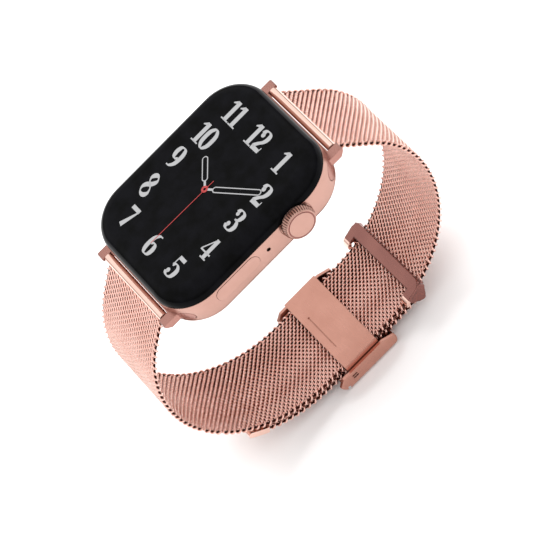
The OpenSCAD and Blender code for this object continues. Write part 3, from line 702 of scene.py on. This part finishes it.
# Each digit is drawn one unit high: pen curves, straight strokes and dots
THIN, THICK, PEN_SHARP, PEN_LEAN = 0.055, 0.215, 1.6, math.radians(-50)
SIX = [
    ("pen", [(0.52, 0.95), (0.36, 0.93), (0.19, 0.76), (0.13, 0.50), (0.14, 0.25), (0.22, 0.07),
             (0.35, 0.02), (0.49, 0.09), (0.55, 0.30), (0.50, 0.50), (0.38, 0.57), (0.24, 0.50)]),
]
DIGITS = {
    "0": [
        ("loop", [(0.33, 0.98), (0.14, 0.80), (0.10, 0.50), (0.14, 0.20), (0.33, 0.02),
                  (0.52, 0.20), (0.56, 0.50), (0.52, 0.80)])],
    "1": [
        ("bar", (0.31, 0.02), (0.31, 0.98), 0.215, 0.215),
        ("bar", (0.03, 0.80), (0.26, 0.93), 0.05, 0.15),
        ("bar", (0.08, 0.03), (0.54, 0.03), 0.06, 0.06)],
    "2": [
        ("dot", (0.17, 0.72), 0.105),
        ("pen", [(0.10, 0.76), (0.17, 0.92), (0.33, 0.97), (0.48, 0.90), (0.52, 0.72), (0.45, 0.52),
                 (0.28, 0.34), (0.12, 0.14)]),
        ("bar", (0.08, 0.10), (0.60, 0.10), 0.20, 0.17),
        ("bar", (0.58, 0.10), (0.60, 0.30), 0.05, 0.04)],
    "3": [
        ("dot", (0.15, 0.76), 0.09),
        ("dot", (0.14, 0.24), 0.10),
        ("pen", [(0.08, 0.80), (0.17, 0.94), (0.32, 0.97), (0.46, 0.89), (0.48, 0.74), (0.40, 0.58),
                 (0.24, 0.52)]),
        ("pen", [(0.24, 0.53), (0.42, 0.49), (0.52, 0.30), (0.46, 0.10), (0.30, 0.02), (0.14, 0.06),
                 (0.07, 0.20)])],
    "4": [
        ("bar", (0.44, 0.02), (0.44, 0.98), 0.20, 0.20),
        ("bar", (0.40, 0.96), (0.03, 0.30), 0.05, 0.06),
        ("bar", (0.01, 0.28), (0.66, 0.28), 0.07, 0.07),
        ("bar", (0.25, 0.03), (0.63, 0.03), 0.06, 0.06)],
    "5": [
        ("bar", (0.12, 0.90), (0.54, 0.90), 0.17, 0.17),
        ("bar", (0.14, 0.92), (0.12, 0.50), 0.05, 0.05),
        ("dot", (0.14, 0.22), 0.10),
        ("pen", [(0.12, 0.50), (0.22, 0.59), (0.36, 0.60), (0.50, 0.48), (0.53, 0.30), (0.46, 0.10),
                 (0.30, 0.02), (0.14, 0.06), (0.07, 0.18)])],
    "6": SIX,
    "7": [
        ("bar", (0.06, 0.90), (0.60, 0.90), 0.18, 0.18),
        ("bar", (0.57, 0.90), (0.25, 0.02), 0.06, 0.24)],
    "8": [
        ("lean", [(0.33, 0.52), (0.18, 0.62), (0.12, 0.77), (0.19, 0.92), (0.33, 0.98),
                  (0.46, 0.92), (0.50, 0.78), (0.42, 0.62), (0.33, 0.54), (0.16, 0.42),
                  (0.09, 0.25), (0.16, 0.08), (0.33, 0.02), (0.49, 0.08), (0.55, 0.24),
                  (0.47, 0.42)])],
    "9": [(kind, [(0.66 - x, 1.0 - y) for x, y in points]) for kind, points in SIX],
}
WIDTH = {"1": 0.50, "0": 0.64}
DIGIT_WIDTH, DIGIT_HEIGHT = 0.62, 5.0
# Middle of each numeral, in mm from the hub
NUMERALS = {
    "12": (0.4, 14.5), "1": (9.6, 14.4), "2": (12.1, 7.1), "3": (11.9, 0.0), "4": (12.0, -7.3),
    "5": (9.2, -14.6), "6": (0.3, -14.8), "7": (-9.7, -14.4), "8": (-11.9, -7.2),
    "9": (-12.0, 0.4), "10": (-10.4, 7.5), "11": (-8.9, 14.7),
}


def draw_digit(flat, digit, x0, y0, size):
    """Adds one digit, with its lower left corner at (x0, y0) in mm."""
    corner = np.array([x0, y0])

    def put(sides, closed=False):
        flat.strip(*(corner + size * np.asarray(s) for s in sides), closed)

    for stroke in DIGITS[digit]:
        if stroke[0] == "bar":
            _, p, q, w0, w1 = stroke
            put(ribbon(np.array([p, q], float), (w0, w1)))
        elif stroke[0] == "dot":
            put(disc(*stroke[1], stroke[2]))
        else:
            closed = stroke[0] != "pen"
            points = spline(stroke[1], closed)
            lean = PEN_LEAN if stroke[0] == "lean" else 0.0
            put(ribbon(points, pen_widths(points, closed, THIN, THICK, lean), closed), closed)


numerals = Flat(0.5)
for label, (cx, cy) in NUMERALS.items():
    widths = [WIDTH.get(d, DIGIT_WIDTH) * DIGIT_HEIGHT for d in label]
    x = cx - sum(widths) / 2
    for digit, width in zip(label, widths):
        draw_digit(numerals, digit, x, cy - DIGIT_HEIGHT / 2, DIGIT_HEIGHT)
        x += width
numerals.make("dial_numerals", [glow.mat])


def capsule(a, b, half, n=12):
    """The two sides of a bar with round ends from a to b."""
    a, b = np.array(a), np.array(b)
    d = (b - a) / np.linalg.norm(b - a)
    up = np.array([-d[1], d[0]])
    ang = np.linspace(0, math.pi / 2, n)
    left, right = [], []
    for k in ang:
        left.append(a - half * math.cos(k) * d + half * math.sin(k) * up)
        right.append(a - half * math.cos(k) * d - half * math.sin(k) * up)
    for k in ang[::-1]:
        left.append(b + half * math.cos(k) * d + half * math.sin(k) * up)
        right.append(b + half * math.cos(k) * d - half * math.sin(k) * up)
    return np.array(left), np.array(right)


# Hands, in mm from the hub: tips, bar, its light rim, stem and sweep hand with its tail
HOUR_TIP, MINUTE_TIP, SWEEP_TIP, SWEEP_TAIL = (-6.35, 4.6), (11.6, 7.38), (-0.1, -14.9), (0.2, 2.4)
BAR_HALF, BAR_RIM, STEM_START, STEM_LENGTH, STEM_LAP, STEM_W = 0.70, 0.22, 0.3, 1.9, 0.1, 0.5
SWEEP_W, HUB_R, HUB_HOLE_R = 0.15, 0.78, 0.3


def outlined_hand(name, tip, level):
    """Hand with a thin stem and a hollow-looking capsule: a light rim round a dark bar."""
    tip = np.array(tip)
    reach = np.linalg.norm(tip)
    d = tip / reach
    bar_start, bar_end = d * (STEM_LENGTH + BAR_HALF), d * (reach - BAR_HALF)
    flat = Flat(level)
    flat.strip(*ribbon(np.array([d * STEM_START, d * (STEM_LENGTH + STEM_LAP)]), (STEM_W, STEM_W)))
    flat.strip(*capsule(bar_start, bar_end, BAR_HALF))
    flat.strip(*capsule(bar_start, bar_end, BAR_HALF - BAR_RIM), kind=1, lift=LAYER / 2)
    return flat.make(name, [glow.mat, dark.mat])


outlined_hand("hour_hand", HOUR_TIP, 2)
outlined_hand("minute_hand", MINUTE_TIP, 3)
sweep = Flat(5)
sweep.strip(*ribbon(np.array([SWEEP_TAIL, SWEEP_TIP]), (SWEEP_W, SWEEP_W)))
sweep.strip(*disc(0, 0, HUB_R))
sweep.strip(*disc(0, 0, HUB_HOLE_R), kind=1, lift=LAYER / 2)
sweep.make("second_hand", [red.mat, dark.mat])

# ---------------------------------------------------------------- floor, light and camera
floor_mat = Shader("studio_floor").set(Specular_IOR_Level=0.15)
floor_mat.colour(floor_mat.noise(3.0), (0.93, 0.93, 0.93), (0.95, 0.95, 0.95))
floor_mat.rough(floor_mat.noise(60.0), 0.7, 0.85)
FLOOR_HALF, FLOOR_GAP = 3.0, 5e-5
CORNERS = ((-1, -1), (1, -1), (1, 1), (-1, 1))
floor_corners = [(FLOOR_HALF * x, FLOOR_HALF * y, 0) for x, y in CORNERS]
floor = add_mesh("floor", floor_corners, [(0, 1, 2, 3)], [floor_mat.mat], smooth=False)
floor.location.z = cad_low.z - FLOOR_GAP

# The sky is darker at the horizon: brightness there, height where it is full, and strength
SKY_LOW, SKY_FULL_AT, SKY_STRENGTH = 0.2, 0.5, 1.25
world = bpy.data.worlds.new("studio")
bpy.context.scene.world = world
world.use_nodes = True
wt = world.node_tree
wn, wl = wt.nodes, wt.links
coord = wn.new("ShaderNodeTexCoord")
toward = wn.new("ShaderNodeVectorMath")
toward.operation = "DOT_PRODUCT"
toward.inputs[1].default_value = (0, 0, 1)
wl.new(coord.outputs["Generated"], toward.inputs[0])
fall = wn.new("ShaderNodeValToRGB")
fall.color_ramp.interpolation = "EASE"
fall.color_ramp.elements[0].position = 0.0
fall.color_ramp.elements[0].color = (SKY_LOW, SKY_LOW, SKY_LOW, 1)
fall.color_ramp.elements[1].position = SKY_FULL_AT
fall.color_ramp.elements[1].color = (1, 1, 1, 1)
wl.new(toward.outputs["Value"], fall.inputs["Fac"])
wl.new(fall.outputs["Color"], wn["Background"].inputs["Color"])
wn["Background"].inputs["Strength"].default_value = SKY_STRENGTH


KEY_PLACE, KEY_SIZE, KEY_POWER = Vector((-0.35, 0.10, 0.95)), 0.9, 9.0
key_data = bpy.data.lights.new("key", "AREA")
key_data.shape = "SQUARE"
key_data.size = KEY_SIZE
key_data.energy = KEY_POWER
key = bpy.data.objects.new("key", key_data)
bpy.context.scene.collection.objects.link(key)
key.location = KEY_PLACE
to_watch = (cad_low + cad_high) / 2 - KEY_PLACE
key.rotation_euler = to_watch.to_track_quat("-Z", "Y").to_euler()
key.visible_glossy = False

camera = bpy.data.cameras.new("camera")
camera.lens = 247.9
camera.sensor_width = 36
camera.clip_start, camera.clip_end = 0.05, 20
eye = bpy.data.objects.new("camera", camera)
bpy.context.scene.collection.objects.link(eye)
EYE = Vector((0.50684, 0.01180, 0.56907))
LOOK_AT = Vector((0.02725, -0.00185, 0.05936))
ROLL = math.radians(46.4)
ahead = (LOOK_AT - EYE).normalized()
sideways = ahead.cross(Vector((0, 0, 1))).normalized()
over = sideways.cross(ahead)
right = math.cos(ROLL) * sideways - math.sin(ROLL) * over
up = right.cross(ahead)
eye.matrix_world = Matrix((
    (right.x, up.x, -ahead.x, EYE.x), (right.y, up.y, -ahead.y, EYE.y),
    (right.z, up.z, -ahead.z, EYE.z), (0, 0, 0, 1)))
bpy.context.scene.camera = eye
bpy.context.scene.view_settings.view_transform = "Standard"

# Rounded CAD surfaces shade smoothly, with sharp edges kept
for ob in NODES.values():
    ob.data.polygons.foreach_set("use_smooth", [True] * len(ob.data.polygons))
    ob.data.set_sharp_from_angle(angle=math.radians(30))
